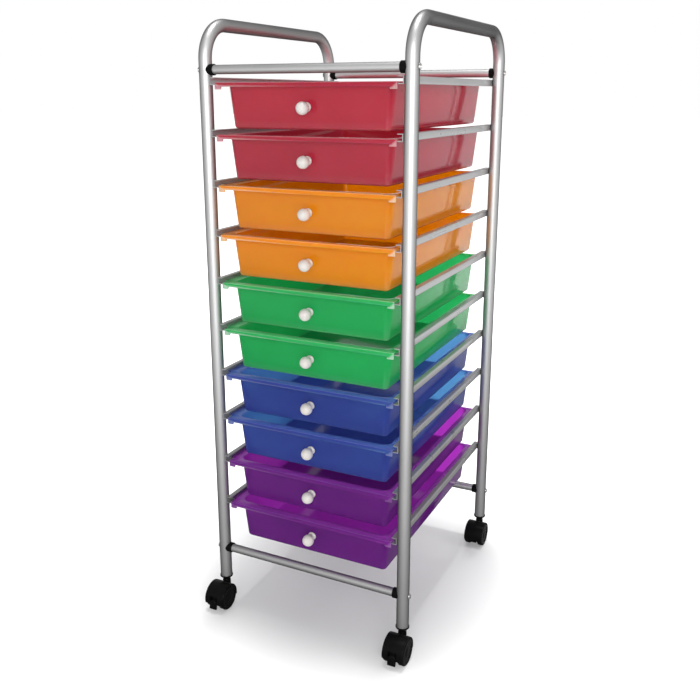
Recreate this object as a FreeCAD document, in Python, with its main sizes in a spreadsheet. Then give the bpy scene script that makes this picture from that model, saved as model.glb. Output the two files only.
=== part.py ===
import FreeCAD, Part
import math
import os
import Sketcher

# Rolling cart with two bent-tube side frames, ten sliding trays and four twin-wheel casters.
# Millimetres, +Z up, front towards -Y, origin on the floor under the middle of the four posts.

levels = 10

sizes = {
    # Side frames
    "tube_outer": 19.0,
    "tube_wall": 1.2,
    "post_spacing_x": 317.0,
    "post_spacing_y": 380.0,
    "handle_height": 920.0,
    "bend_radius": 50.0,
    # Crossbars, their end collars and the screws that hold them
    "bar_outer": 13.0,
    "bar_wall": 1.0,
    "top_bar_drop": 63.0,
    "bottom_bar_height": 102.0,
    "collar_outer": 16.0,
    "collar_length": 6.0,
    "collar_plug": 14.0,
    "screw_shank": 4.5,
    "screw_head": 8.4,
    "screw_crown": 4.2,
    "screw_head_height": 2.6,
    "screw_grip": 10.0,
    # Rails
    "rail_height": 10.4,
    "rail_depth": 8.0,
    "rail_sheet": 1.1,
    "rail_overhang": 5.0,
    # Trays
    "tray_draft": 6.5,
    "tray_wall": 2.0,
    "tray_floor": 2.0,
    "tray_corner": 7.0,
    "tray_bottom_round": 5.0,
    "flange_thickness": 2.0,
    "flange_setback": 3.0,
    "rear_flange": 3.0,
    "lip_reach": 12.0,
    "lip_overhang": 0.8,
    "lip_drop": 5.4,
    "stop_width": 10.0,
    "stop_drop": 4.2,
    # Knobs
    "knob_height": 31.0,
    "knob_ball": 18.0,
    "knob_reach": 13.5,
    "knob_neck": 9.0,
    "knob_base": 13.0,
    "knob_base_height": 2.0,
    "knob_screw": 4.0,
    "knob_screw_depth": 11.0,
    "knob_screw_head": 8.0,
    "knob_screw_crown": 5.4,
    "knob_screw_head_height": 2.2,
    # Casters
    "socket_plug": 26.0,
    "socket_flange": 21.0,
    "socket_flange_height": 2.0,
    "socket_neck": 11.5,
    "socket_neck_height": 1.5,
    "socket_drop": 8.0,
    "stem_diameter": 8.0,
    "stem_engagement": 15.0,
    "wheel_diameter": 40.0,
    "wheel_width": 10.0,
    "wheel_edge": 1.5,
    "wheel_dish": 0.8,
    "wheel_rim": 5.0,
    "wheel_cap": 1.8,
    "caster_trail": 18.0,
    "hub_width": 13.0,
    "hub_drop": 9.0,
    "axle_diameter": 6.0,
    "hood_wall": 1.7,
    "hood_edge": 1.0,
    "hood_sweep": 205.0,
    "boss_gap": 1.0,
    # Brake levers on the front casters
    "pivot_inset": 7.5,
    "pivot_rise": 5.0,
    "pivot_pin": 3.4,
    "pivot_eye": 7.0,
    "pivot_ear": 2.0,
    "pedal_reach": 2.5,
    "pedal_drop": 12.0,
    "pedal_thickness": 3.0,
    # Clearances
    "fit_gap": 0.1,
    "run_gap": 0.05,
    "knob_hole_gap": 0.3,
    "side_gap": 0.9,
    "tray_side_gap": 10.7,
    "tray_rear_gap": 1.6,
    "tray_gap": 8.4,
    "top_rail_gap": 4.1,
    "bottom_tray_gap": 15.3,
    "slide_gap": 0.3,
    "wheel_gap": 0.5,
    "hood_gap": 0.8,
    "post_gap": 7.5,
}

# Sizes that follow from the others: the trays share the height between the top and bottom bars evenly,
# and the posts end above the casters
following_sizes = {
    "hood_outer": "wheel_diameter / 2 + hood_gap + hood_wall",
    "post_foot": "wheel_diameter / 2 + hood_outer + post_gap",
    "top_bar_height": "handle_height - top_bar_drop",
    "top_rail_height": "top_bar_height - bar_outer / 2 - top_rail_gap - rail_height",
    "rim_height": "top_rail_height + rail_sheet + slide_gap + flange_thickness",
    "lowest_tray": "bottom_bar_height + bar_outer / 2 + bottom_tray_gap",
    "rail_pitch": f"(rim_height + tray_gap - lowest_tray) / {levels}",
    "tray_height": "rail_pitch - tray_gap",
}

doc = FreeCAD.newDocument("drawer_cart")
sheet = doc.addObject("Spreadsheet::Sheet", "sizes")
cells = {alias: str(number) for alias, number in sizes.items()}
cells.update({alias: f"={formula}" for alias, formula in following_sizes.items()})
for row, (alias, content) in enumerate(cells.items(), start=1):
    sheet.set(f"A{row}", alias)
    sheet.set(f"B{row}", content)
    sheet.setAlias(f"B{row}", alias)
doc.recompute()

# Places that several pieces share, as expressions over the sheet
post_x = "(sizes.post_spacing_x / 2)"
post_y = "(sizes.post_spacing_y / 2)"
post_face = f"({post_x} - sizes.tube_outer / 2)"
rail_tip = f"({post_face} - sizes.rail_depth)"
rail_length = "(sizes.post_spacing_y + 2 * sizes.rail_overhang)"
bar_end = f"({post_face} - sizes.collar_length)"
tray_base = "(sizes.rim_height - sizes.tray_height)"
tray_spread = "(sizes.tray_height * tan(sizes.tray_draft))"
tray_half = f"({rail_tip} - sizes.tray_side_gap)"
lip_front = f"({rail_length} / 2 + sizes.lip_overhang)"
tray_front = f"({lip_front} - sizes.lip_reach)"
flange_rear = f"({rail_length} / 2 - sizes.rail_sheet - sizes.tray_rear_gap)"
tray_rear = f"({flange_rear} - sizes.rear_flange)"
axle_height = "(sizes.wheel_diameter / 2)"
hub_half = "(sizes.hub_width / 2)"
wheel_inner = f"({hub_half} + sizes.wheel_gap)"
wheel_outer = f"({wheel_inner} + sizes.wheel_width)"
hood_inner = f"({axle_height} + sizes.hood_gap)"
neck_bottom = "(sizes.post_foot - sizes.socket_drop)"
boss_top = f"({neck_bottom} - sizes.boss_gap)"
stem_bottom = f"({boss_top} - sizes.stem_engagement)"
pivot_y = "(sizes.pivot_inset - sizes.caster_trail - sizes.hood_outer)"
pivot_z = f"({axle_height} + sizes.pivot_rise)"
eye_half = f"({hub_half} - sizes.pivot_ear - sizes.slide_gap)"

parts = []


def add_body(label):
    body = doc.addObject("PartDesign::Body", label)
    body.Label = label
    body.AllowCompound = True
    parts.append(body)
    return body


def place(part, x="0", y="0", z="0"):
    for axis, expression in zip("xyz", (x, y, z)):
        part.setExpression(f"Placement.Base.{axis}", expression)


def origin_feature(body, role):
    return next(feature for feature in body.Origin.OriginFeatures if feature.Role == role)


def add_sketch(body, name, role, offset="0"):
    sketch = body.newObject("Sketcher::SketchObject", name)
    sketch.AttachmentSupport = [(origin_feature(body, role), "")]
    sketch.MapMode = "FlatFace"
    sketch.setExpression("AttachmentOffset.Base.z", offset)
    return sketch


def bind(sketch, kind, *reference, start, expression):
    index = sketch.addConstraint(Sketcher.Constraint(kind, *reference, start))
    sketch.setExpression(f"Constraints[{index}]", expression)


def add_outline(sketch, corners):
    # Closed outline of straight edges; each corner is a pair of expressions
    first = sketch.GeometryCount
    count = len(corners)
    start = [FreeCAD.Vector(index + 1, (index + 1) ** 2, 0) for index in range(count)]
    for index in range(count):
        sketch.addGeometry(Part.LineSegment(start[index], start[(index + 1) % count]))
    for index in range(count):
        following = first + (index + 1) % count
        sketch.addConstraint(Sketcher.Constraint("Coincident", first + index, 2, following, 1))
    for index, (across, along) in enumerate(corners):
        line = first + index
        bind(sketch, "DistanceX", -1, 1, line, 1, start=start[index].x, expression=across)
        bind(sketch, "DistanceY", -1, 1, line, 1, start=start[index].y, expression=along)


def add_rectangle(sketch, left, right, bottom, top):
    add_outline(sketch, [(left, bottom), (right, bottom), (right, top), (left, top)])


def add_rounded_rectangle(sketch, left, right, bottom, top, radius):
    # Four sides joined by tangent arcs, drawn at a rough size that the bound distances then set
    rough, rough_round, quarter = 100.0, 10.0, math.pi / 2
    inner = rough - rough_round
    sides = [
        ((-inner, -rough), (inner, -rough), "Horizontal", "DistanceY", -rough, bottom),
        ((rough, -inner), (rough, inner), "Vertical", "DistanceX", rough, right),
        ((inner, rough), (-inner, rough), "Horizontal", "DistanceY", rough, top),
        ((-rough, inner), (-rough, -inner), "Vertical", "DistanceX", -rough, left),
    ]
    for begin, end, direction, *_ in sides:
        line = sketch.addGeometry(Part.LineSegment(FreeCAD.Vector(*begin, 0), FreeCAD.Vector(*end, 0)))
        sketch.addConstraint(Sketcher.Constraint(direction, line))
    corners = ((inner, -inner), (inner, inner), (-inner, inner), (-inner, -inner))
    for index, (across, along) in enumerate(corners):
        circle = Part.Circle(FreeCAD.Vector(across, along, 0), FreeCAD.Vector(0, 0, 1), rough_round)
        begin = (index - 1) * quarter
        arc = sketch.addGeometry(Part.ArcOfCircle(circle, begin, begin + quarter))
        sketch.addConstraint(Sketcher.Constraint("Tangent", index, 2, arc, 1))
        sketch.addConstraint(Sketcher.Constraint("Tangent", arc, 2, (index + 1) % 4, 1))
        bind(sketch, "Radius", arc, start=rough_round, expression=radius)
    for line, (*_, distance, start, expression) in enumerate(sides):
        bind(sketch, distance, -1, 1, line, 1, start=start, expression=expression)


def add_circle(sketch, across, along, radius):
    circle = sketch.addGeometry(Part.Circle(FreeCAD.Vector(1, 1, 0), FreeCAD.Vector(0, 0, 1), 1))
    bind(sketch, "DistanceX", -1, 1, circle, 3, start=1.0, expression=across)
    bind(sketch, "DistanceY", -1, 1, circle, 3, start=1.0, expression=along)
    bind(sketch, "Radius", circle, start=1.0, expression=radius)


def add_axis(sketch, start, end):
    # Construction line between two pairs of expressions, used as a turning axis
    line = sketch.addGeometry(Part.LineSegment(FreeCAD.Vector(1, 1, 0), FreeCAD.Vector(2, 3, 0)), True)
    bind(sketch, "DistanceX", -1, 1, line, 1, start=1.0, expression=start[0])
    bind(sketch, "DistanceY", -1, 1, line, 1, start=1.0, expression=start[1])
    bind(sketch, "DistanceX", -1, 1, line, 2, start=2.0, expression=end[0])
    bind(sketch, "DistanceY", -1, 1, line, 2, start=3.0, expression=end[1])


def extrude(body, kind, sketch, length, symmetric=False, reverse=False, taper="0"):
    feature = body.newObject(f"PartDesign::{kind}", f"{sketch.Name}_{kind.lower()}")
    feature.Profile = sketch
    feature.SideType = "Symmetric" if symmetric else "One side"
    feature.Reversed = reverse
    feature.setExpression("Length", length)
    feature.setExpression("TaperAngle", taper)
    return feature


def turn(body, sketch, angle="360", symmetric=False):
    feature = body.newObject("PartDesign::Revolution", f"{sketch.Name}_turned")
    feature.Profile = sketch
    feature.ReferenceAxis = (sketch, ["Axis0"])
    feature.Midplane = symmetric
    feature.setExpression("Angle", angle)
    return feature


def repeat(body, originals, role, spacing, count=2, reverse=False):
    pattern = body.newObject("PartDesign::LinearPattern", f"repeat_{role[0].lower()}")
    pattern.Originals = originals
    pattern.Direction = (origin_feature(body, role), [""])
    pattern.Mode = "Spacing"
    pattern.Reversed = reverse
    pattern.setExpression("Offset", spacing)
    pattern.Occurrences = count
    body.Tip = pattern
    return pattern


def repeat_whole(body, role, spacing):
    # A second copy of everything made so far
    body.recompute(True)
    repeat(body, [], role, spacing).TransformMode = "Whole shape"


def mirror_whole(body):
    body.recompute(True)
    mirrored = body.newObject("PartDesign::Mirrored", "other_side")
    mirrored.MirrorPlane = (origin_feature(body, "YZ_Plane"), [""])
    mirrored.TransformMode = "Whole shape"
    body.Tip = mirrored


def round_edges(body, radius, height):
    # Rounds every edge that lies level at a height above the body's base
    body.recompute(True)
    base = body.Tip
    names = []
    for index, edge in enumerate(base.Shape.Edges, start=1):
        box = edge.BoundBox
        if abs(box.ZMin - height) < 0.01 and abs(box.ZMax - height) < 0.01:
            names.append(f"Edge{index}")
    fillet = body.newObject("PartDesign::Fillet", "round")
    fillet.Base = (base, names)
    fillet.setExpression("Radius", radius)
    return fillet


def make_side_frame(label, side):
    body = add_body(label)
    profile = add_sketch(body, "section", "XY_Plane", "sizes.post_foot")
    add_circle(profile, f"{side} * {post_x}", f"-{post_y}", "sizes.tube_outer / 2")
    add_circle(profile, f"{side} * {post_x}", f"-{post_y}", "sizes.tube_outer / 2 - sizes.tube_wall")

    # One upright, the bent handle and the other upright, as lines joined by tangent arcs
    path = add_sketch(body, "path", "YZ_Plane", f"{side} * {post_x}")
    reach = sheet.post_spacing_y / 2
    foot = sheet.post_foot
    top = sheet.handle_height
    bend = sheet.bend_radius
    straight_top = "sizes.handle_height - sizes.bend_radius"
    straight_end = f"{post_y} - sizes.bend_radius"
    runs = [
        ((-reach, foot), (-reach, top - bend)),
        ((bend - reach, top), (reach - bend, top)),
        ((reach, top - bend), (reach, foot)),
    ]
    run_expressions = [
        ((f"-{post_y}", "sizes.post_foot"), (f"-{post_y}", straight_top)),
        ((f"-({straight_end})", "sizes.handle_height"), (straight_end, "sizes.handle_height")),
        ((post_y, straight_top), (post_y, "sizes.post_foot")),
    ]
    for ends in runs:
        path.addGeometry(Part.LineSegment(*(FreeCAD.Vector(*end, 0) for end in ends)))
    quarter = math.pi / 2
    normal = FreeCAD.Vector(0, 0, 1)
    for centre, begin in ((bend - reach, quarter), (reach - bend, 0)):
        circle = Part.Circle(FreeCAD.Vector(centre, top - bend, 0), normal, bend)
        path.addGeometry(Part.ArcOfCircle(circle, begin, begin + quarter))
    for line, line_end, arc, arc_end in ((0, 2, 3, 2), (1, 1, 3, 1), (1, 2, 4, 2), (2, 1, 4, 1)):
        path.addConstraint(Sketcher.Constraint("Coincident", line, line_end, arc, arc_end))
    for line, (ends, expressions) in enumerate(zip(runs, run_expressions)):
        for end, (place_now, rule) in enumerate(zip(ends, expressions), start=1):
            bind(path, "DistanceX", -1, 1, line, end, start=place_now[0], expression=rule[0])
            bind(path, "DistanceY", -1, 1, line, end, start=place_now[1], expression=rule[1])
    for arc in (3, 4):
        bind(path, "Radius", arc, start=bend, expression="sizes.bend_radius")
    path.recompute()
    tube = body.newObject("PartDesign::AdditivePipe", "tube")
    tube.Profile = profile
    tube.Spine = (path, [f"Edge{index}" for index in range(1, 6)])

    holes = add_sketch(body, "screw_holes", "YZ_Plane", f"{side} * {post_x}")
    for height in ("sizes.top_bar_height", "sizes.bottom_bar_height"):
        for end in (-1, 1):
            add_circle(holes, f"{end} * {post_y}", height, "sizes.screw_shank / 2 + sizes.fit_gap")
    extrude(body, "Pocket", holes, "2 * sizes.tube_outer", symmetric=True)


def make_bar(label, end, height):
    body = add_body(label)
    section = add_sketch(body, "section", "YZ_Plane")
    add_circle(section, "0", "0", "sizes.bar_outer / 2")
    add_circle(section, "0", "0", "sizes.bar_outer / 2 - sizes.bar_wall")
    extrude(body, "Pad", section, f"2 * {bar_end}", symmetric=True)
    place(body, y=f"{end} * {post_y}", z=height)


def repeat_at_bar_ends(body):
    # From the right front end of the lower bars to all eight ends
    repeat_whole(body, "Y_Axis", "sizes.post_spacing_y")
    repeat_whole(body, "Z_Axis", "sizes.top_bar_height - sizes.bottom_bar_height")
    mirror_whole(body)


def make_collars():
    # A saddle against the post with a plug in the bar, at both ends of the four bars
    body = add_body("crossbar_collars")
    half = add_sketch(body, "collar", "XZ_Plane", post_y)
    centre = "sizes.bottom_bar_height"
    bore = f"{centre} + sizes.screw_shank / 2 + sizes.fit_gap"
    rim = f"{centre} + sizes.collar_outer / 2"
    plug = f"{centre} + sizes.bar_outer / 2 - sizes.bar_wall - sizes.fit_gap"
    tip = f"{bar_end} - sizes.collar_plug"
    corners = [(post_x, bore), (post_x, rim), (bar_end, rim), (bar_end, plug), (tip, plug), (tip, bore)]
    add_outline(half, corners)
    add_axis(half, (tip, centre), (post_x, centre))
    turn(body, half)
    saddle = add_sketch(body, "saddle", "XY_Plane", centre)
    add_circle(saddle, post_x, f"-{post_y}", "sizes.tube_outer / 2 + sizes.run_gap")
    extrude(body, "Pocket", saddle, "2 * sizes.collar_outer", symmetric=True)
    repeat_at_bar_ends(body)


def make_bar_screws():
    body = add_body("crossbar_screws")
    half = add_sketch(body, "screw", "XZ_Plane", post_y)
    centre = "sizes.bottom_bar_height"
    seat = f"{post_x} + sizes.tube_outer / 2"
    top = f"{seat} + sizes.screw_head_height"
    shank = f"{centre} + sizes.screw_shank / 2"
    head = f"{centre} + sizes.screw_head / 2"
    tip = f"{bar_end} - sizes.screw_grip"
    add_outline(half, [
        (tip, centre),
        (top, centre),
        (top, f"{centre} + sizes.screw_crown / 2"),
        (f"{seat} + sizes.screw_head_height / 2", head),
        (seat, head),
        (seat, shank),
        (tip, shank),
    ])
    add_axis(half, (tip, centre), (top, centre))
    turn(body, half)
    repeat_at_bar_ends(body)


def make_rails(label, side):
    # Open channels welded to the posts, webs outwards, each closed at the rear by a folded stop
    body = add_body(label)
    web = f"{side} * {post_face}"
    web_inside = f"{side} * ({post_face} - sizes.rail_sheet)"
    tip = f"{side} * {rail_tip}"
    bottom = "sizes.top_rail_height"
    top = f"{bottom} + sizes.rail_height"
    floor = f"{bottom} + sizes.rail_sheet"
    roof = f"{top} - sizes.rail_sheet"
    channel = add_sketch(body, "channel", "XZ_Plane")
    add_outline(channel, [
        (tip, bottom),
        (web, bottom),
        (web, top),
        (tip, top),
        (tip, roof),
        (web_inside, roof),
        (web_inside, floor),
        (tip, floor),
    ])
    rail = extrude(body, "Pad", channel, rail_length, symmetric=True)
    stop = add_sketch(body, "rear_stop", "XZ_Plane", f"-{rail_length} / 2")
    add_rectangle(stop, tip, web, bottom, top)
    fold = extrude(body, "Pad", stop, "sizes.rail_sheet")
    repeat(body, [rail, fold], "Z_Axis", "sizes.rail_pitch", levels, reverse=True)


def make_tray(label, level):
    body = add_body(label)
    base = add_sketch(body, "base", "XY_Plane")
    half = f"({tray_half} - {tray_spread})"
    front, rear = f"-({tray_front} - {tray_spread})", f"{tray_rear} - {tray_spread}"
    add_rounded_rectangle(base, f"-{half}", half, front, rear, "sizes.tray_corner")
    extrude(body, "Pad", base, "sizes.tray_height", taper="sizes.tray_draft")
    round_edges(body, "sizes.tray_bottom_round", 0)

    # Rim plate: side flanges that run in the rails and a narrower lip in front of them
    flange_half = f"({post_face} - sizes.rail_sheet - sizes.side_gap)"
    lip_half = f"({rail_tip} - sizes.side_gap)"
    shoulder = f"-({tray_front} - sizes.flange_setback)"
    under_rim = "sizes.tray_height - sizes.flange_thickness"
    plate = add_sketch(body, "rim_plate", "XY_Plane", under_rim)
    add_outline(plate, [
        (f"-{lip_half}", f"-{lip_front}"),
        (lip_half, f"-{lip_front}"),
        (lip_half, shoulder),
        (flange_half, shoulder),
        (flange_half, flange_rear),
        (f"-{flange_half}", flange_rear),
        (f"-{flange_half}", shoulder),
        (f"-{lip_half}", shoulder),
    ])
    extrude(body, "Pad", plate, "sizes.flange_thickness")
    lip_back = f"-({lip_front} - sizes.flange_thickness)"
    lip = add_sketch(body, "front_lip", "XY_Plane", under_rim)
    add_rectangle(lip, f"-{lip_half}", lip_half, f"-{lip_front}", lip_back)
    extrude(body, "Pad", lip, "sizes.lip_drop - sizes.flange_thickness", reverse=True)
    stops = add_sketch(body, "corner_stops", "XY_Plane", "sizes.tray_height - sizes.lip_drop")
    stop_inner = f"({lip_half} - sizes.stop_width)"
    add_rectangle(stops, stop_inner, lip_half, f"-{lip_front}", lip_back)
    add_rectangle(stops, f"-{lip_half}", f"-{stop_inner}", f"-{lip_front}", lip_back)
    extrude(body, "Pad", stops, "sizes.stop_drop", reverse=True)

    mouth = add_sketch(body, "mouth", "XY_Plane", "sizes.tray_height")
    mouth_half = f"({tray_half} - sizes.tray_wall)"
    mouth_front = f"-({tray_front} - sizes.tray_wall)"
    mouth_rear = f"{tray_rear} - sizes.tray_wall"
    mouth_corner = f"(sizes.tray_corner + {tray_spread} - sizes.tray_wall)"
    add_rounded_rectangle(mouth, f"-{mouth_half}", mouth_half, mouth_front, mouth_rear, mouth_corner)
    extrude(body, "Pocket", mouth, "sizes.tray_height - sizes.tray_floor", taper="-sizes.tray_draft")
    round_edges(body, "sizes.tray_bottom_round - sizes.tray_floor", sheet.tray_floor)
    hole = add_sketch(body, "knob_hole", "XZ_Plane", f"{tray_front} / 2")
    add_circle(hole, "0", "sizes.knob_height", "sizes.knob_screw / 2 + sizes.knob_hole_gap")
    extrude(body, "Pocket", hole, f"{tray_front} / 2 + sizes.fit_gap", reverse=True)
    place(body, z=f"{tray_base} - {level} * sizes.rail_pitch")


def place_on_front(part, level):
    # Square to the leaning front wall, at the knob's height
    part.Placement.Rotation = FreeCAD.Rotation(FreeCAD.Vector(1, 0, 0), 90)
    place(
        part,
        y=f"-({tray_front} - (sizes.tray_height - sizes.knob_height) * tan(sizes.tray_draft))",
        z=f"{tray_base} - {level} * sizes.rail_pitch + sizes.knob_height",
    )
    part.setExpression("Placement.Rotation.Angle", "90 + sizes.tray_draft")


def make_knob(label, level):
    body = add_body(label)
    half = add_sketch(body, "foot", "XZ_Plane")
    add_outline(half, [
        ("0", "0"),
        ("sizes.knob_base / 2", "0"),
        ("sizes.knob_neck / 2", "sizes.knob_base_height"),
        ("sizes.knob_neck / 2", "sizes.knob_reach"),
        ("0", "sizes.knob_reach"),
    ])
    add_axis(half, ("0", "0"), ("0", "sizes.knob_reach"))
    turn(body, half)
    ball = body.newObject("PartDesign::AdditiveSphere", "ball")
    ball.AttachmentSupport = [(origin_feature(body, "XY_Plane"), "")]
    ball.MapMode = "FlatFace"
    ball.setExpression("AttachmentOffset.Base.z", "sizes.knob_reach")
    ball.setExpression("Radius", "sizes.knob_ball / 2")
    bore = add_sketch(body, "screw_bore", "XY_Plane")
    add_circle(bore, "0", "0", "sizes.knob_screw / 2 + sizes.fit_gap")
    extrude(body, "Pocket", bore, "sizes.knob_screw_depth + sizes.slide_gap", reverse=True)
    place_on_front(body, level)


def make_knob_screw(label, level):
    body = add_body(label)
    half = add_sketch(body, "screw", "XZ_Plane")
    seat = "-sizes.tray_wall * cos(sizes.tray_draft)"
    top = f"{seat} - sizes.knob_screw_head_height"
    add_outline(half, [
        ("0", top),
        ("sizes.knob_screw_crown / 2", top),
        ("sizes.knob_screw_head / 2", f"{seat} - sizes.knob_screw_head_height / 2"),
        ("sizes.knob_screw_head / 2", seat),
        ("sizes.knob_screw / 2", seat),
        ("sizes.knob_screw / 2", "sizes.knob_screw_depth"),
        ("0", "sizes.knob_screw_depth"),
    ])
    add_axis(half, ("0", top), ("0", "sizes.knob_screw_depth"))
    turn(body, half)
    place_on_front(body, level)


def repeat_at_posts(body):
    repeat_whole(body, "X_Axis", "sizes.post_spacing_x")
    repeat_whole(body, "Y_Axis", "sizes.post_spacing_y")
    place(body, x=f"-{post_x}", y=f"-{post_y}")


def make_sockets():
    # Plugs pressed into the post ends, with a funnel under the post that narrows to the neck
    body = add_body("caster_sockets")
    half = add_sketch(body, "socket", "XZ_Plane")
    bore = "sizes.stem_diameter / 2 + sizes.fit_gap"
    plug = "sizes.tube_outer / 2 - sizes.tube_wall - sizes.fit_gap"
    rim_under = "sizes.post_foot - sizes.socket_flange_height"
    top = "sizes.post_foot + sizes.socket_plug"
    add_outline(half, [
        (bore, neck_bottom),
        ("sizes.socket_neck / 2", neck_bottom),
        ("sizes.socket_neck / 2", f"{neck_bottom} + sizes.socket_neck_height"),
        ("sizes.socket_flange / 2", rim_under),
        ("sizes.socket_flange / 2", "sizes.post_foot"),
        (plug, "sizes.post_foot"),
        (plug, top),
        (bore, top),
    ])
    add_axis(half, ("0", neck_bottom), ("0", top))
    turn(body, half)
    repeat_at_posts(body)


def make_stems():
    body = add_body("caster_stems")
    section = add_sketch(body, "section", "XY_Plane", stem_bottom)
    add_circle(section, "0", "0", "sizes.stem_diameter / 2")
    length = f"sizes.post_foot + sizes.socket_plug - {stem_bottom}"
    extrude(body, "Pad", section, length)
    repeat_at_posts(body)


def make_hood(label, x, y, braked):
    body = add_body(label)
    shell = add_sketch(body, "shell", "XZ_Plane", "sizes.caster_trail")
    inner = f"{axle_height} + {hood_inner}"
    outer = f"{axle_height} + sizes.hood_outer"
    half = f"({wheel_outer} - sizes.wheel_gap)"
    crown = f"({half} - sizes.hood_edge)"
    add_outline(shell, [
        (f"-{half}", inner),
        (half, inner),
        (half, f"{outer} - sizes.hood_edge"),
        (crown, outer),
        (f"-{crown}", outer),
        (f"-{half}", f"{outer} - sizes.hood_edge"),
    ])
    add_axis(shell, (f"-{half}", axle_height), (half, axle_height))
    turn(body, shell, "sizes.hood_sweep", symmetric=True)

    # Web between the wheels, cut off level under the axle
    web = add_sketch(body, "web", "YZ_Plane")
    add_circle(web, "-sizes.caster_trail", axle_height, "sizes.hood_outer")
    extrude(body, "Pad", web, "sizes.hub_width", symmetric=True)
    under = add_sketch(body, "underside", "YZ_Plane")
    reach = "(sizes.caster_trail + 2 * sizes.hood_outer)"
    add_rectangle(under, f"-{reach}", reach, f"-{reach}", f"{axle_height} - sizes.hub_drop")
    extrude(body, "Pocket", under, "2 * sizes.hub_width", symmetric=True)
    if braked:
        add_lever_mount(body)

    boss = add_sketch(body, "boss", "XY_Plane", axle_height)
    add_circle(boss, "0", "0", hub_half)
    extrude(body, "Pad", boss, f"{boss_top} - {axle_height}")
    bore = add_sketch(body, "stem_bore", "XY_Plane", boss_top)
    add_circle(bore, "0", "0", "sizes.stem_diameter / 2 + sizes.run_gap")
    extrude(body, "Pocket", bore, "sizes.stem_engagement + sizes.slide_gap")
    axle = add_sketch(body, "axle_bore", "YZ_Plane")
    add_circle(axle, "-sizes.caster_trail", axle_height, "sizes.axle_diameter / 2 + sizes.run_gap")
    extrude(body, "Pocket", axle, "2 * sizes.hub_width", symmetric=True)
    place(body, x=x, y=y)


def add_lever_mount(body):
    # The web and hood open in front for the brake lever, which turns on a pin between two ears
    front = "(-sizes.caster_trail - 2 * sizes.hood_outer)"
    back = f"({pivot_y} + sizes.pivot_eye / 2 + sizes.slide_gap)"
    opening = add_sketch(body, "lever_opening", "YZ_Plane")
    roof = f"({pivot_z} + sizes.pivot_eye / 2 + sizes.slide_gap)"
    add_rectangle(opening, front, back, "-sizes.hood_outer", roof)
    extrude(body, "Pocket", opening, "sizes.hub_width + 2 * sizes.slide_gap", symmetric=True)
    ears = add_sketch(body, "ears", "YZ_Plane")
    ear_low = f"{pivot_z} - sizes.pivot_eye / 2"
    add_rectangle(ears, f"{pivot_y} - sizes.pivot_pin", back, ear_low, roof)
    extrude(body, "Pad", ears, "sizes.hub_width", symmetric=True)
    slot = add_sketch(body, "ear_slot", "YZ_Plane")
    add_rectangle(slot, front, back, "-sizes.hood_outer", roof)
    extrude(body, "Pocket", slot, f"2 * ({eye_half} + sizes.slide_gap)", symmetric=True)
    pin = add_sketch(body, "pivot_pin", "YZ_Plane")
    add_circle(pin, pivot_y, pivot_z, "sizes.pivot_pin / 2")
    extrude(body, "Pad", pin, "sizes.hub_width", symmetric=True)


def make_lever(label, x, y):
    body = add_body(label)
    eye = add_sketch(body, "eye", "YZ_Plane")
    add_circle(eye, pivot_y, pivot_z, "sizes.pivot_eye / 2")
    extrude(body, "Pad", eye, f"2 * {eye_half}", symmetric=True)
    arm = add_sketch(body, "arm", "YZ_Plane")
    elbow_y = "(-sizes.caster_trail - sizes.hood_outer - sizes.slide_gap)"
    elbow_z = f"({pivot_z} - sizes.pivot_eye / 2)"
    toe_y = "(-sizes.caster_trail - sizes.hood_outer - sizes.pedal_reach)"
    toe_z = f"({axle_height} - sizes.pedal_drop)"
    thickness = "sizes.pedal_thickness"
    add_outline(arm, [
        (pivot_y, elbow_z),
        (f"{elbow_y} + {thickness}", f"{elbow_z} - {thickness}"),
        (f"{elbow_y}", f"{elbow_z} - {thickness}"),
        (f"{elbow_y}", elbow_z),
        (pivot_y, f"{elbow_z} + sizes.pivot_eye / 2"),
    ])
    extrude(body, "Pad", arm, f"2 * {eye_half}", symmetric=True)
    pedal = add_sketch(body, "pedal", "YZ_Plane")
    add_outline(pedal, [
        (f"{elbow_y} + {thickness}", f"{elbow_z} - {thickness}"),
        (f"{toe_y} + {thickness}", toe_z),
        (toe_y, toe_z),
        (f"{elbow_y}", elbow_z),
    ])
    extrude(body, "Pad", pedal, "sizes.hub_width", symmetric=True)
    bore = add_sketch(body, "pin_bore", "YZ_Plane")
    add_circle(bore, pivot_y, pivot_z, "sizes.pivot_pin / 2 + sizes.run_gap")
    extrude(body, "Pocket", bore, "2 * sizes.hub_width", symmetric=True)
    place(body, x=x, y=y)


def make_axle(label, x, y):
    axle = doc.addObject("Part::Cylinder", label)
    axle.Label = label
    axle.Placement.Rotation = FreeCAD.Rotation(FreeCAD.Vector(0, 1, 0), 90)
    half = f"({wheel_outer} - sizes.wheel_cap - sizes.slide_gap)"
    axle.setExpression("Radius", "sizes.axle_diameter / 2")
    axle.setExpression("Height", f"2 * {half}")
    place(axle, x=f"{x} - {half}", y=f"{y} - sizes.caster_trail", z=axle_height)
    parts.append(axle)


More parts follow.
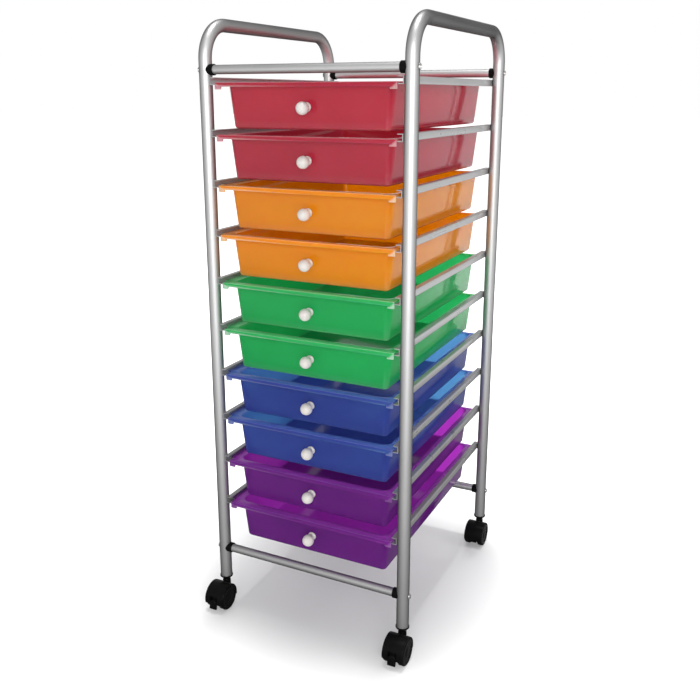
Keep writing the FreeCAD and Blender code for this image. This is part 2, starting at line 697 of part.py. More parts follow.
def make_wheel(label, x, y, side):
    # Tread, dished outer face and a bore that stops at the hub cap
    body = add_body(label)
    half = add_sketch(body, "half", "XZ_Plane")
    bore = "sizes.axle_diameter / 2 + sizes.run_gap"
    tread = "sizes.wheel_diameter / 2"
    shoulder = "sizes.wheel_diameter / 2 - sizes.wheel_edge"
    rim = "sizes.wheel_diameter / 2 - sizes.wheel_rim"
    cap_face = f"{wheel_outer} - sizes.wheel_cap"
    dish = f"{wheel_outer} - sizes.wheel_dish"
    corners = [
        (wheel_inner, bore),
        (wheel_inner, shoulder),
        (f"{wheel_inner} + sizes.wheel_edge", tread),
        (f"{wheel_outer} - sizes.wheel_edge", tread),
        (wheel_outer, shoulder),
        (wheel_outer, rim),
        (dish, f"{rim} - sizes.wheel_dish"),
        (dish, "0"),
        (cap_face, "0"),
        (cap_face, bore),
    ]
    add_outline(half, [(f"{side} * ({across})", radius) for across, radius in corners])
    add_axis(half, ("0", "0"), (f"{side} * {wheel_outer}", "0"))
    turn(body, half)
    place(body, x=x, y=f"{y} - sizes.caster_trail", z=axle_height)


make_side_frame("side_frame_left", -1)
make_side_frame("side_frame_right", 1)
make_bar("top_front_bar", -1, "sizes.top_bar_height")
make_bar("top_rear_bar", 1, "sizes.top_bar_height")
make_bar("bottom_front_bar", -1, "sizes.bottom_bar_height")
make_bar("bottom_rear_bar", 1, "sizes.bottom_bar_height")
make_collars()
make_bar_screws()
make_rails("rails_left", -1)
make_rails("rails_right", 1)
for level in range(levels):
    make_tray(f"drawer_{level + 1:02d}", level)
    make_knob(f"knob_{level + 1:02d}", level)
    make_knob_screw(f"knob_screw_{level + 1:02d}", level)
make_sockets()
make_stems()
corners_of_cart = {
    "front_left": (-1, -1),
    "front_right": (1, -1),
    "rear_left": (-1, 1),
    "rear_right": (1, 1),
}
for corner, (across, along) in corners_of_cart.items():
    at_x = f"{across} * {post_x}"
    at_y = f"{along} * {post_y}"
    braked = along < 0
    make_hood(f"caster_hood_{corner}", at_x, at_y, braked)
    make_axle(f"caster_axle_{corner}", at_x, at_y)
    make_wheel(f"wheel_{corner}_outer", at_x, at_y, across)
    make_wheel(f"wheel_{corner}_inner", at_x, at_y, -across)
    if braked:
        make_lever(f"brake_lever_{corner}", at_x, at_y)

doc.recompute()
for item in doc.Objects:
    if "Invalid" in item.State or "Error" in item.State:
        raise RuntimeError(f"{item.Label} failed: {item.State}")
    is_pocket = item.TypeId == "PartDesign::Pocket"
    if is_pocket and item.Shape.Volume >= item.BaseFeature.Shape.Volume:
        raise RuntimeError(f"{item.Label} cuts nothing")
for part in parts:
    if part.Shape.isNull() or not part.Shape.isValid():
        raise RuntimeError(f"{part.Label} has no valid shape")
os.makedirs("parts", exist_ok=True)
for part in parts:
    part.Shape.exportStep(f"parts/{part.Label}.step")
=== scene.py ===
import math
import bmesh
import bpy
from mathutils import Matrix, Vector


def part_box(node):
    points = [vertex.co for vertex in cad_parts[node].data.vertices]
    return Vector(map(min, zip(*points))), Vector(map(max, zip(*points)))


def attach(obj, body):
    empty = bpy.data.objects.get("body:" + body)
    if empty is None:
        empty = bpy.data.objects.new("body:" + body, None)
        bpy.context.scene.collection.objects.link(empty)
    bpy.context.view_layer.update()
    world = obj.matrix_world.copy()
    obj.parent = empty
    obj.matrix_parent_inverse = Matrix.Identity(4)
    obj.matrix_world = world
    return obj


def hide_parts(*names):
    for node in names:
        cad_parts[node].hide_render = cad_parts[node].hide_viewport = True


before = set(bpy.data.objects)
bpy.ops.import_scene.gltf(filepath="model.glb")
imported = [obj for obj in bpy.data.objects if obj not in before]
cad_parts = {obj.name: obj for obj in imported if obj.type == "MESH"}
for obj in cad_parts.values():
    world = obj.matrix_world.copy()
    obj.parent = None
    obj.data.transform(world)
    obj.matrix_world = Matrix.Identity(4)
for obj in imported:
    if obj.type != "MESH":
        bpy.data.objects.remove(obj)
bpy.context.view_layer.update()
mm = 0.001
levels = 10
sharpAngle = 38
cartCorners = {"front_left": (-1, -1), "front_right": (1, -1), "rear_left": (-1, 1), "rear_right": (1, 1)}


# node helpers

def grey(level):
    return (level, level, level, 1.0)


def addNode(tree, kind, inputs, **settings):
    # an input gets a value, or a link where the output of another node is given
    node = tree.nodes.new(kind)
    for label, value in settings.items():
        setattr(node, label, value)
    for label, value in inputs.items():
        if isinstance(value, bpy.types.NodeSocket):
            tree.links.new(value, node.inputs[label])
        else:
            node.inputs[label].default_value = value
    return node


def reckon(tree, operation, *values):
    return addNode(tree, "ShaderNodeMath", dict(enumerate(values)), operation=operation).outputs["Value"]


def vectorMath(tree, operation, *values):
    return addNode(tree, "ShaderNodeVectorMath", dict(enumerate(values)), operation=operation).outputs


def ranged(tree, value, fromMin, fromMax, toMin=0.0, toMax=1.0, smooth=False):
    inputs = {"Value": value, "From Min": fromMin, "From Max": fromMax, "To Min": toMin, "To Max": toMax}
    way = "SMOOTHSTEP" if smooth else "LINEAR"
    return addNode(tree, "ShaderNodeMapRange", inputs, interpolation_type=way).outputs["Result"]


def mixed(tree, share, first, second):
    inputs = {"Factor": share, "A": first, "B": second}
    return addNode(tree, "ShaderNodeMix", inputs, data_type="RGBA").outputs["Result"]


def noiseAt(tree, place, scale, detail, roughness=0.5):
    inputs = {"Vector": place, "Scale": scale, "Detail": detail, "Roughness": roughness}
    return addNode(tree, "ShaderNodeTexNoise", inputs).outputs["Fac"]


def heightOf(tree, vector):
    return addNode(tree, "ShaderNodeSeparateXYZ", {"Vector": vector}).outputs["Z"]


def objectPlace(tree):
    return tree.nodes.new("ShaderNodeTexCoord").outputs["Object"]


def effect(tree, group, inputs):
    return addNode(tree, "ShaderNodeGroup", inputs, node_tree=group).outputs


# shared shader effects

def newShaderGroup(name, inputs, outputs):
    group = bpy.data.node_groups.new(name, "ShaderNodeTree")
    for label, value in inputs:
        group.interface.new_socket(label, in_out="INPUT", socket_type="NodeSocketFloat").default_value = value
    for label in outputs:
        group.interface.new_socket(label, in_out="OUTPUT", socket_type="NodeSocketFloat")
    return group, group.nodes.new("NodeGroupInput").outputs


drift = {"broadDetail": 2.0, "fineDetail": 5.0, "roughness": 0.55}


def buildSurfaceDrift():
    # slow change of tone and fine grain, both fixed to the piece
    scales = [("Broad Scale", 6.0), ("Fine Scale", 900.0)]
    group, given = newShaderGroup("surfaceDrift", scales, ["Broad", "Fine"])
    place = objectPlace(group)
    broad = noiseAt(group, place, given["Broad Scale"], drift["broadDetail"], drift["roughness"])
    fine = noiseAt(group, place, given["Fine Scale"], drift["fineDetail"], drift["roughness"])
    addNode(group, "NodeGroupOutput", {"Broad": broad, "Fine": fine})
    return group


marks = {"stretch": (1.0, 0.015, 1.0), "detail": 3.0, "shown": (0.5, 0.75)}


def buildSlideMarks():
    # fine streaks along the way the trays slide
    group, given = newShaderGroup("slideMarks", [("Streaks", 700.0)], ["Marks"])
    along = addNode(group, "ShaderNodeMapping", {"Vector": objectPlace(group), "Scale": marks["stretch"]})
    streaks = noiseAt(group, along.outputs["Vector"], given["Streaks"], marks["detail"])
    addNode(group, "NodeGroupOutput", {"Marks": ranged(group, streaks, *marks["shown"])})
    return group


# colour and patches of the painted shade towards the floor
floorShade = {"colour": (0.115, 0.108, 0.10, 1.0), "scale": 35.0, "detail": 4.0, "patches": (0.75, 1.0)}


def buildPaintedFloorShade():
    # painted shade: a dull grey that grows towards the floor in uneven patches, in place of the weaker light
    # low down
    group, given = newShaderGroup("paintedFloorShade", [("Reach", 0.4), ("Amount", 0.5)], ["FloorShade"])
    place = objectPlace(group)
    low = ranged(group, heightOf(group, place), 0.0, given["Reach"], 1.0, 0.0, smooth=True)
    noise = noiseAt(group, place, floorShade["scale"], floorShade["detail"])
    patches = ranged(group, noise, 0.0, 1.0, *floorShade["patches"])
    shadeMask = reckon(group, "MULTIPLY", low, patches)
    addNode(group, "NodeGroupOutput", {"FloorShade": reckon(group, "MULTIPLY", shadeMask, given["Amount"])})
    return group


dust = {"colour": (0.42, 0.40, 0.37, 1.0), "scale": 160.0, "detail": 6.0, "upward": (0.2, 1.0)}


def buildSettledDust():
    # thin dust where a surface faces up
    group, given = newShaderGroup("settledDust", [("Amount", 0.2)], ["Dust"])
    facing = group.nodes.new("ShaderNodeNewGeometry").outputs["Normal"]
    upward = ranged(group, heightOf(group, facing), *dust["upward"])
    grains = noiseAt(group, objectPlace(group), dust["scale"], dust["detail"])
    patches = reckon(group, "MULTIPLY", grains, upward)
    addNode(group, "NodeGroupOutput", {"Dust": reckon(group, "MULTIPLY", patches, given["Amount"])})
    return group


insideFaces = {"level": (1.0, 1.0, 0.0), "inward": (-0.02, -0.08), "upward": (0.5, 0.9)}


def buildInsideGlow():
    # faces that look up or to the tray's middle, where light that came through its walls lands; a painted
    # glow stands in for that light
    group = newShaderGroup("trayInside", [], ["Inside"])[0]
    facing = group.nodes.new("ShaderNodeNewGeometry").outputs["Normal"]
    fromMiddle = vectorMath(group, "MULTIPLY", objectPlace(group), insideFaces["level"])["Vector"]
    outward = vectorMath(group, "DOT_PRODUCT", fromMiddle, facing)["Value"]
    inner = ranged(group, outward, *insideFaces["inward"])
    upward = ranged(group, heightOf(group, facing), *insideFaces["upward"])
    addNode(group, "NodeGroupOutput", {"Inside": reckon(group, "MAXIMUM", inner, upward)})
    return group


edgePoints = (0.515, 0.57)


def buildLitEdges():
    # painted highlight on sharp outer edges, for the light they gather inside clear plastic
    group, given = newShaderGroup("litEdges", [("Amount", 0.2)], ["Edge"])
    pointed = group.nodes.new("ShaderNodeNewGeometry").outputs["Pointiness"]
    addNode(group, "NodeGroupOutput", {"Edge": ranged(group, pointed, *edgePoints, 0.0, given["Amount"])})
    return group


surfaceDrift = buildSurfaceDrift()
slideMarks = buildSlideMarks()
paintedFloorShade = buildPaintedFloorShade()
settledDust = buildSettledDust()
trayInside = buildInsideGlow()
litEdges = buildLitEdges()


# finishes

grainDepth = 0.4 * mm
glossDrift = (0.3, 0.7)


def makeFinish(name, look):
    finish = bpy.data.materials.new(name)
    finish.use_nodes = True
    tree = finish.node_tree
    shader = tree.nodes["Principled BSDF"]
    for label, value in look["fixed"].items():
        shader.inputs[label].default_value = value
    change = effect(tree, surfaceDrift, {"Broad Scale": look["broad"], "Fine Scale": look["fine"]})
    deep, light = look["colours"]
    colour = mixed(tree, change["Broad"], (*deep, 1.0), (*light, 1.0))
    gloss = ranged(tree, change["Broad"], *glossDrift, *look["rough"])
    if "streaks" in look:
        worn = effect(tree, slideMarks, {"Streaks": look["streaks"]})
        gloss = reckon(tree, "MULTIPLY_ADD", worn["Marks"], look["streakGloss"], gloss)
    # painted shade: the paint gets darker towards the floor
    if "floorShade" in look:
        reach, amount = look["floorShade"]
        shadeMask = effect(tree, paintedFloorShade, {"Reach": reach, "Amount": amount})
        colour = mixed(tree, shadeMask["FloorShade"], colour, floorShade["colour"])
    if "dust" in look:
        settled = effect(tree, settledDust, {"Amount": look["dust"]})
        colour = mixed(tree, settled["Dust"], colour, dust["colour"])
    if "flopAndSideShade" in look:
        # flakes in the paint look darker at a slant; this also paints the shade on the tubes' sides that face
        # away from the light
        reach, dark = look["flopAndSideShade"]
        slant = tree.nodes.new("ShaderNodeLayerWeight").outputs["Facing"]
        colour = mixed(tree, ranged(tree, slant, 0.0, reach), colour, grey(dark))
    # painted highlight: sharp edges whitened
    if "edges" in look:
        lit = effect(tree, litEdges, {"Amount": look["edges"]})
        colour = mixed(tree, lit["Edge"], colour, grey(1.0))
    # painted glow: emission on the tray's inner faces, in place of light that came through its walls
    if "inside" in look:
        glowMask = effect(tree, trayInside, {})
        tree.links.new(mixed(tree, glowMask["Inside"], grey(0.0), colour), shader.inputs["Emission Color"])
        shader.inputs["Emission Strength"].default_value = look["inside"]
    grain = {"Strength": look["bump"], "Distance": grainDepth, "Height": change["Fine"]}
    bump = addNode(tree, "ShaderNodeBump", grain)
    tree.links.new(colour, shader.inputs["Base Color"])
    tree.links.new(gloss, shader.inputs["Roughness"])
    tree.links.new(bump.outputs["Normal"], shader.inputs["Normal"])
    return finish


metalLooks = {
    "silverPaint": {"colours": ((0.74, 0.74, 0.745), (0.80, 0.80, 0.795)), "broad": 9.0, "fine": 2600.0,
                    "rough": (0.46, 0.54), "bump": 0.10, "dust": 0.03, "floorShade": (0.52, 0.20),
                    # the slant darkening below is partly painted shade on the tubes' sides
                    "flopAndSideShade": (0.70, 0.24), "fixed": {"Metallic": 0.88, "Specular Tint": grey(0.1)}},
    "railPaint": {"colours": ((0.43, 0.43, 0.44), (0.51, 0.51, 0.51)), "broad": 12.0, "fine": 2200.0,
                  "rough": (0.26, 0.34), "bump": 0.05, "streaks": 800.0, "streakGloss": 0.12,
                  "floorShade": (0.55, 0.6),
                  "fixed": {"Metallic": 0.4, "Specular Tint": grey(0.3), "Coat Weight": 0.8,
                            "Coat Roughness": 0.15}},
    "brightSteel": {"colours": ((0.72, 0.72, 0.72), (0.82, 0.81, 0.80)), "broad": 60.0, "fine": 3000.0,
                    "rough": (0.14, 0.26), "bump": 0.06, "fixed": {"Metallic": 1.0}},
}
plasticLooks = {
    "blackPlastic": {"colours": ((0.003, 0.003, 0.003), (0.006, 0.006, 0.006)), "broad": 40.0, "fine": 2400.0,
                     "rough": (0.26, 0.38), "bump": 0.12, "dust": 0.006,
                     "fixed": {"Specular IOR Level": 0.07}},
    "wheelPlastic": {"colours": ((0.003, 0.003, 0.003), (0.007, 0.007, 0.007)), "broad": 55.0, "fine": 1500.0,
                     "rough": (0.22, 0.34), "bump": 0.08, "dust": 0.008,
                     "fixed": {"Specular IOR Level": 0.09}},
    "knobWhite": {"colours": ((0.70, 0.665, 0.63), (0.78, 0.745, 0.71)), "broad": 70.0, "fine": 1800.0,
                  "rough": (0.22, 0.32), "bump": 0.05,
                  "fixed": {"IOR": 1.49, "Subsurface Weight": 0.12,
                            "Subsurface Radius": (0.004, 0.003, 0.0025)}},
}
# two tones of each colour, how far light of each primary goes through a wall,
# and how strong the painted glow inside and the painted highlight on the sharp edges are
trayColours = {
    "red": ((0.36, 0.018, 0.042), (0.47, 0.038, 0.068), (0.6, 0.10, 0.30), 0.22, 0.30),
    "orange": ((0.78, 0.220, 0.004), (0.88, 0.280, 0.008), (0.9, 0.9, 0.15), 0.03, 0.34),
    "green": ((0.010, 0.340, 0.080), (0.022, 0.420, 0.110), (0.85, 1.3, 1.0), 0.09, 0.34),
    "blue": ((0.022, 0.036, 0.235), (0.032, 0.056, 0.300), (1.3, 1.9, 2.3), 0.23, 0.10),
    "purple": ((0.092, 0.009, 0.150), (0.132, 0.013, 0.200), (2.2, 1.2, 2.3), 0.21, 0.05),
}
trayLook = {"broad": 7.0, "fine": 1200.0, "rough": (0.05, 0.09), "bump": 0.02, "streaks": 500.0,
            "streakGloss": 0.04}
trayDepth = {"Specular IOR Level": 0.30, "Subsurface Weight": 1.0, "Subsurface Scale": 0.0085}

finishes = {name: makeFinish(name, look) for name, look in {**metalLooks, **plasticLooks}.items()}
for colourName, (deep, light, passing, inside, edges) in trayColours.items():
    finishes[colourName] = makeFinish(f"trayPlastic.{colourName}", {
        **trayLook, "colours": (deep, light), "inside": inside, "edges": edges,
        "fixed": {**trayDepth, "Subsurface Radius": passing}})
print("finishes:", len(finishes))


# mesh helpers, in millimetres until meshFrom

# how far in the middle point of a rounded edge lies, as a share of its radius
midEdge = 0.3
# points closer than this are one
mergeDistance = 1e-4


def arcPoints(centre, radius, start, end, steps):
    turns = [math.radians(start + (end - start) * step / steps) for step in range(steps + 1)]
    return [(centre[0] + radius * math.cos(turn), centre[1] + radius * math.sin(turn)) for turn in turns]


def circlePoints(radius, steps):
    return arcPoints((0.0, 0.0), radius, 0, 360, steps)[:-1]


def joinRings(bm, lower, upper):
    if len(lower) == 1 and len(upper) == 1:
        return
    count = max(len(lower), len(upper))
    for step in range(count):
        after = (step + 1) % count
        if len(lower) == 1:
            bm.faces.new((lower[0], upper[after], upper[step]))
        elif len(upper) == 1:
            bm.faces.new((lower[step], lower[after], upper[0]))
        else:
            bm.faces.new((lower[step], lower[after], upper[after], upper[step]))


def joinStack(bm, rings):
    for lower, upper in zip(rings, rings[1:]):
        joinRings(bm, lower, upper)


def addTurned(bm, profile, steps, place=Matrix.Identity(4), closed=False):
    # radius and height pairs turned about z, then moved into place
    rings = []
    for radius, height in profile:
        around = circlePoints(radius, steps) if radius > mergeDistance else [(0.0, 0.0)]
        rings.append([bm.verts.new(place @ Vector((x, y, height))) for x, y in around])
    joinStack(bm, rings)
    if closed:
        joinRings(bm, rings[-1], rings[0])


zToX = Matrix.Rotation(math.pi / 2, 4, "Y")


def alongX(a, b, depth):
    return (depth, a, b)


def addExtruded(bm, outline, low, high, toPoint, rounding):
    # closed outline carried from one depth to another, with its edges rounded
    before = set(bm.faces)
    ends = []
    for depth in (low, high):
        ends.append([bm.verts.new(toPoint(across, along, depth)) for across, along in outline])
    joinRings(bm, *ends)
    bm.faces.new(ends[0])
    bm.faces.new(ends[1])
    if rounding:
        made = [face for face in bm.faces if face not in before]
        edges = list({edge for face in made for edge in face.edges})
        bmesh.ops.bevel(bm, geom=edges, offset=rounding, segments=3, affect="EDGES", profile=0.5,
                        clamp_overlap=True)


def meshFrom(bm, name, sharp=sharpAngle):
    bmesh.ops.remove_doubles(bm, verts=bm.verts, dist=mergeDistance)
    bmesh.ops.recalc_face_normals(bm, faces=bm.faces)
    bmesh.ops.scale(bm, vec=(mm, mm, mm), verts=bm.verts)
    mesh = bpy.data.meshes.new(name)
    bm.to_mesh(mesh)
    bm.free()
    mesh.shade_smooth()
    mesh.set_sharp_from_angle(angle=math.radians(sharp))
    return mesh


def turnedMesh(profile, steps, name):
    bm = bmesh.new()
    addTurned(bm, profile, steps)
    return meshFrom(bm, name)


def extrudedMesh(outline, low, high, toPoint, rounding, name):
    bm = bmesh.new()
    addExtruded(bm, outline, low, high, toPoint, rounding)
    return meshFrom(bm, name)


def looseObject(name, mesh):
    obj = bpy.data.objects.new(name, mesh)
    bpy.context.scene.collection.objects.link(obj)
    return obj


def bakedMesh(obj, name):
    # the evaluated shape as a plain mesh; the working object goes
    bpy.context.view_layer.update()
    mesh = bpy.data.meshes.new_from_object(obj.evaluated_get(bpy.context.evaluated_depsgraph_get()))
    mesh.name = name
    bpy.data.objects.remove(obj)
    return mesh


def combined(mesh, other, operation, name):
    body, tool = looseObject("bodyShape", mesh), looseObject("toolShape", other)
    step = body.modifiers.new("combine", "BOOLEAN")
    step.operation = operation
    step.solver = "EXACT"
    step.object = tool
    result = bakedMesh(body, name)
    bpy.data.objects.remove(tool)
    result.shade_smooth()
    result.set_sharp_from_angle(angle=math.radians(sharpAngle))
    return result


def painted(mesh, finish):
    mesh.materials.clear()
    mesh.materials.append(finishes[finish])
    return mesh


def addPiece(name, mesh, body, node):
    obj = looseObject(name, mesh)
    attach(obj, body)
    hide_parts(node)


# geometry node trees

def newTree(name, inputs):
    tree = bpy.data.node_groups.new(name, "GeometryNodeTree")
    for way in ("INPUT", "OUTPUT"):
        tree.interface.new_socket("Geometry", in_out=way, socket_type="NodeSocketGeometry")
    tree.interface.new_socket("Finish", in_out="INPUT", socket_type="NodeSocketMaterial")
    for label, kind, value in inputs:
        socket = tree.interface.new_socket(label, in_out="INPUT", socket_type=f"NodeSocket{kind}")
        socket.default_value = value
    return tree, tree.nodes.new("NodeGroupInput").outputs


def endTree(tree, given, geometry):
    real = addNode(tree, "GeometryNodeRealizeInstances", {"Geometry": geometry})
    coated = addNode(tree, "GeometryNodeSetMaterial", {
        "Geometry": real.outputs["Geometry"], "Material": given["Finish"]})
    addNode(tree, "NodeGroupOutput", {"Geometry": coated.outputs["Geometry"]})
    return tree


def endWithCopies(tree, given, points, **turned):
    inputs = {"Points": points, "Instance": given["Geometry"], **turned}
    copies = addNode(tree, "GeometryNodeInstanceOnPoints", inputs)
    return endTree(tree, given, copies.outputs["Instances"])


def buildBentTube():
    # a tube along a line of points, its corners bent to a radius
    tree, given = newTree("bentTube", [("Bend Radius", "Float", 0.05), ("Bend Steps", "Int", 20),
                                       ("Tube Radius", "Float", 0.01), ("Sides", "Int", 40)])
    line = addNode(tree, "GeometryNodeMeshToCurve", {"Mesh": given["Geometry"]})
    bends = {"Curve": line.outputs["Curve"], "Count": given["Bend Steps"], "Radius": given["Bend Radius"]}
    fillet = addNode(tree, "GeometryNodeFilletCurve", bends, mode="POLY")
    section = {"Resolution": given["Sides"], "Radius": given["Tube Radius"]}
    circle = addNode(tree, "GeometryNodeCurvePrimitiveCircle", section)
    sweep = addNode(tree, "GeometryNodeCurveToMesh", {
        "Curve": fillet.outputs["Curve"], "Profile Curve": circle.outputs["Curve"], "Fill Caps": True})
    return endTree(tree, given, sweep.outputs["Mesh"])


def buildAtBarEnds():
    # one copy at each end of the four crossbars, turned to face its post
    tree, given = newTree("atBarEnds", [("Spread", "Vector", (0.3, 0.4, 0.8)),
                                        ("Middle", "Vector", (0.0, 0.0, 0.5))])
    block = addNode(tree, "GeometryNodeMeshCube", {"Size": given["Spread"]})
    ends = addNode(tree, "GeometryNodeTransform", {
        "Geometry": block.outputs["Mesh"], "Translation": given["Middle"]})
    where = tree.nodes.new("GeometryNodeInputPosition").outputs["Position"]
    split = addNode(tree, "ShaderNodeSeparateXYZ", {"Vector": where})
    isLeft = reckon(tree, "LESS_THAN", split.outputs["X"], 0.0)
    about = addNode(tree, "ShaderNodeCombineXYZ", {"Z": reckon(tree, "MULTIPLY", isLeft, math.pi)})
    turn = addNode(tree, "FunctionNodeEulerToRotation", {"Euler": about.outputs["Vector"]})
    return endWithCopies(tree, given, ends.outputs["Geometry"], Rotation=turn.outputs["Rotation"])


def buildDownTheStack():
    # one copy for each tray, downwards
    tree, given = newTree("downTheStack", [("Count", "Int", 10), ("Pitch", "Float", 0.07)])
    step = addNode(tree, "ShaderNodeCombineXYZ", {"Z": reckon(tree, "MULTIPLY", given["Pitch"], -1.0)})
    line = addNode(tree, "GeometryNodeMeshLine", {"Count": given["Count"], "Offset": step.outputs["Vector"]})
    return endWithCopies(tree, given, line.outputs["Mesh"])


def buildAtPosts():
    # one copy under each of the four posts
    tree, given = newTree("atPosts", [("Across", "Float", 0.3), ("Along", "Float", 0.4)])
    grid = addNode(tree, "GeometryNodeMeshGrid", {
        "Size X": given["Across"], "Size Y": given["Along"], "Vertices X": 2, "Vertices Y": 2})
    return endWithCopies(tree, given, grid.outputs["Mesh"])


bentTube = buildBentTube()
atBarEnds = buildAtBarEnds()
downTheStack = buildDownTheStack()
atPosts = buildAtPosts()


def grownMesh(name, mesh, tree, finish, sizes):
    obj = looseObject(name, mesh)
    grow = obj.modifiers.new("grow", "NODES")
    grow.node_group = tree
    values = {**sizes, "Finish": finishes[finish]}
    for item in tree.interface.items_tree:
        if item.in_out == "INPUT" and item.name in values:
            grow[item.identifier] = values[item.name]
    grown = bakedMesh(obj, name)
    grown.set_sharp_from_angle(angle=math.radians(sharpAngle))
    return grown


def pathMesh(points):
    mesh = bpy.data.meshes.new("path")
    mesh.from_pydata(points, [(index, index + 1) for index in range(len(points) - 1)], [])
    return mesh


# side frames and crossbars

tubes = {"bendRadius": 0.050, "bendSteps": 24, "postSides": 48, "barSides": 40}

for side in ("left", "right"):
    node = f"side_frame_{side}"
    low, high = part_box(node)
    radius = (high.x - low.x) / 2
    x, front, rear, top = low.x + radius, low.y + radius, high.y - radius, high.z - radius
    path = pathMesh([(x, front, low.z), (x, front, top), (x, rear, top), (x, rear, low.z)])
    tube = grownMesh(node, path, bentTube, "silverPaint", {
        "Bend Radius": tubes["bendRadius"], "Bend Steps": tubes["bendSteps"], "Tube Radius": radius,
        "Sides": tubes["postSides"]})
    addPiece(f"sideFrame.{side}", tube, "frame", node)

for node in ("top_front_bar", "top_rear_bar", "bottom_front_bar", "bottom_rear_bar"):
    low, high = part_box(node)
    radius = (high.z - low.z) / 2
    y, z = low.y + radius, low.z + radius
    path = pathMesh([(low.x, y, z), (0.0, y, z), (high.x, y, z)])
    bar = grownMesh(node, path, bentTube, "silverPaint", {
        "Bend Radius": 0.0, "Bend Steps": 1, "Tube Radius": radius, "Sides": tubes["barSides"]})
    addPiece(node.replace("_", "."), bar, "frame", node)
print("tubes: 2 side frames, 4 crossbars")


# collars and screws at the bar ends

postLow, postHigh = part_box("side_frame_right")
barLow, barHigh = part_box("top_front_bar")
lowBarLow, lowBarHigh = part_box("bottom_front_bar")
postRadius = (postHigh.x - postLow.x) / 2
postX, postY = postHigh.x - postRadius, postHigh.y - postRadius
topBarZ, bottomBarZ = (barLow.z + barHigh.z) / 2, (lowBarLow.z + lowBarHigh.z) / 2
barMiddle = (0.0, 0.0, (topBarZ + bottomBarZ) / 2)

collar = {"radius": 8.0, "edge": 0.8, "edgeSteps": 4, "play": 0.05, "steps": 40}


def collarMesh():
    # a sleeve from the bar's end to the post, saddled to the post's round
    bm = bmesh.new()
    radius, edge, steps = collar["radius"], collar["edge"], collar["steps"]
    reach = (postX - barHigh.x) / mm
    saddle = postRadius / mm + collar["play"]
    rings = [[bm.verts.new((0.0, 0.0, 0.0))]]
    for around, depth in arcPoints((radius - edge, edge), edge, -90, 0, collar["edgeSteps"]):
        rings.append([bm.verts.new((depth, y, z)) for y, z in circlePoints(around, steps)])
    for around in (radius, radius / 2):
        places = circlePoints(around, steps)
        rings.append([bm.verts.new((reach - math.sqrt(saddle ** 2 - y ** 2), y, z)) for y, z in places])
    rings.append([bm.verts.new((reach - saddle, 0.0, 0.0))])
    joinStack(bm, rings)
    return meshFrom(bm, "collar")


collars = grownMesh("collars", collarMesh(), atBarEnds, "blackPlastic", {
    "Spread": (2 * barHigh.x, 2 * postY, topBarZ - bottomBarZ), "Middle": barMiddle})
addPiece("barCollars", collars, "frame", "crossbar_collars")

screw = {"headRadius": 4.2, "headHeight": 2.6, "rimHeight": 0.9, "edge": (0.2, 0.25), "domeSteps": 6,
         "dome": 0.75, "shankRadius": 2.2, "shankLength": 2.0, "crossLength": 4.6, "crossWidth": 1.0,
         "crossDepth": 1.3, "overcut": 1.0, "steps": 40}


def screwMesh():
    # pan head with a cross recess, pointing out along x
    radius, height, rim = screw["headRadius"], screw["headHeight"], screw["rimHeight"]
    shank, end = screw["shankRadius"], -screw["shankLength"]
    edgeIn, edgeUp = screw["edge"]
    profile = [(0.0, end), (shank, end), (shank, 0.0)]
    profile += [(radius - edgeIn, 0.0), (radius, edgeUp), (radius, rim)]
    for step in range(1, screw["domeSteps"]):
        turn = math.pi / 2 * step / screw["domeSteps"]
        profile.append((radius * math.cos(turn) ** screw["dome"], rim + (height - rim) * math.sin(turn)))
    profile.append((0.0, height))
    bm = bmesh.new()
    addTurned(bm, profile, screw["steps"], zToX)
    head = meshFrom(bm, "screwHead")
    half, arm = screw["crossLength"] / 2, screw["crossWidth"] / 2
    plus = [(-half, -arm), (-arm, -arm), (-arm, -half), (arm, -half), (arm, -arm), (half, -arm),
            (half, arm), (arm, arm), (arm, half), (-arm, half), (-arm, arm), (-half, arm)]
    bottom, top = height - screw["crossDepth"], height + screw["overcut"]
    return combined(head, extrudedMesh(plus, bottom, top, alongX, 0.0, "recess"), "DIFFERENCE", "screw")


screws = grownMesh("screws", screwMesh(), atBarEnds, "brightSteel", {
    "Spread": (2 * postHigh.x, 2 * postY, topBarZ - bottomBarZ), "Middle": barMiddle})
addPiece("barScrews", screws, "frame", "crossbar_screws")
print("bar ends: collars and screws")


# rails

rail = {"sheet": 1.1, "bend": 1.4, "bendSteps": 4, "height": 10.4, "stopRound": 0.3,
        "weld": (1.1, 2.0, 1.44), "weldShare": 0.42, "weldRings": 6, "weldSteps": 16}


def channelOutline(depth):
    # folded channel seen along y: open side at x 0, web at x depth
    sheet, bend, height, steps = rail["sheet"], rail["bend"], rail["height"], rail["bendSteps"]
    faces = []
    for inset in (0.0, sheet):
        lower = arcPoints((depth - bend, bend), bend - inset, -90, 0, steps)
        upper = arcPoints((depth - bend, height - bend), bend - inset, 0, 90, steps)
        faces.append([(0.0, inset), *lower, *upper, (0.0, height - inset)])
    outer, inner = faces
    return outer + inner[::-1]


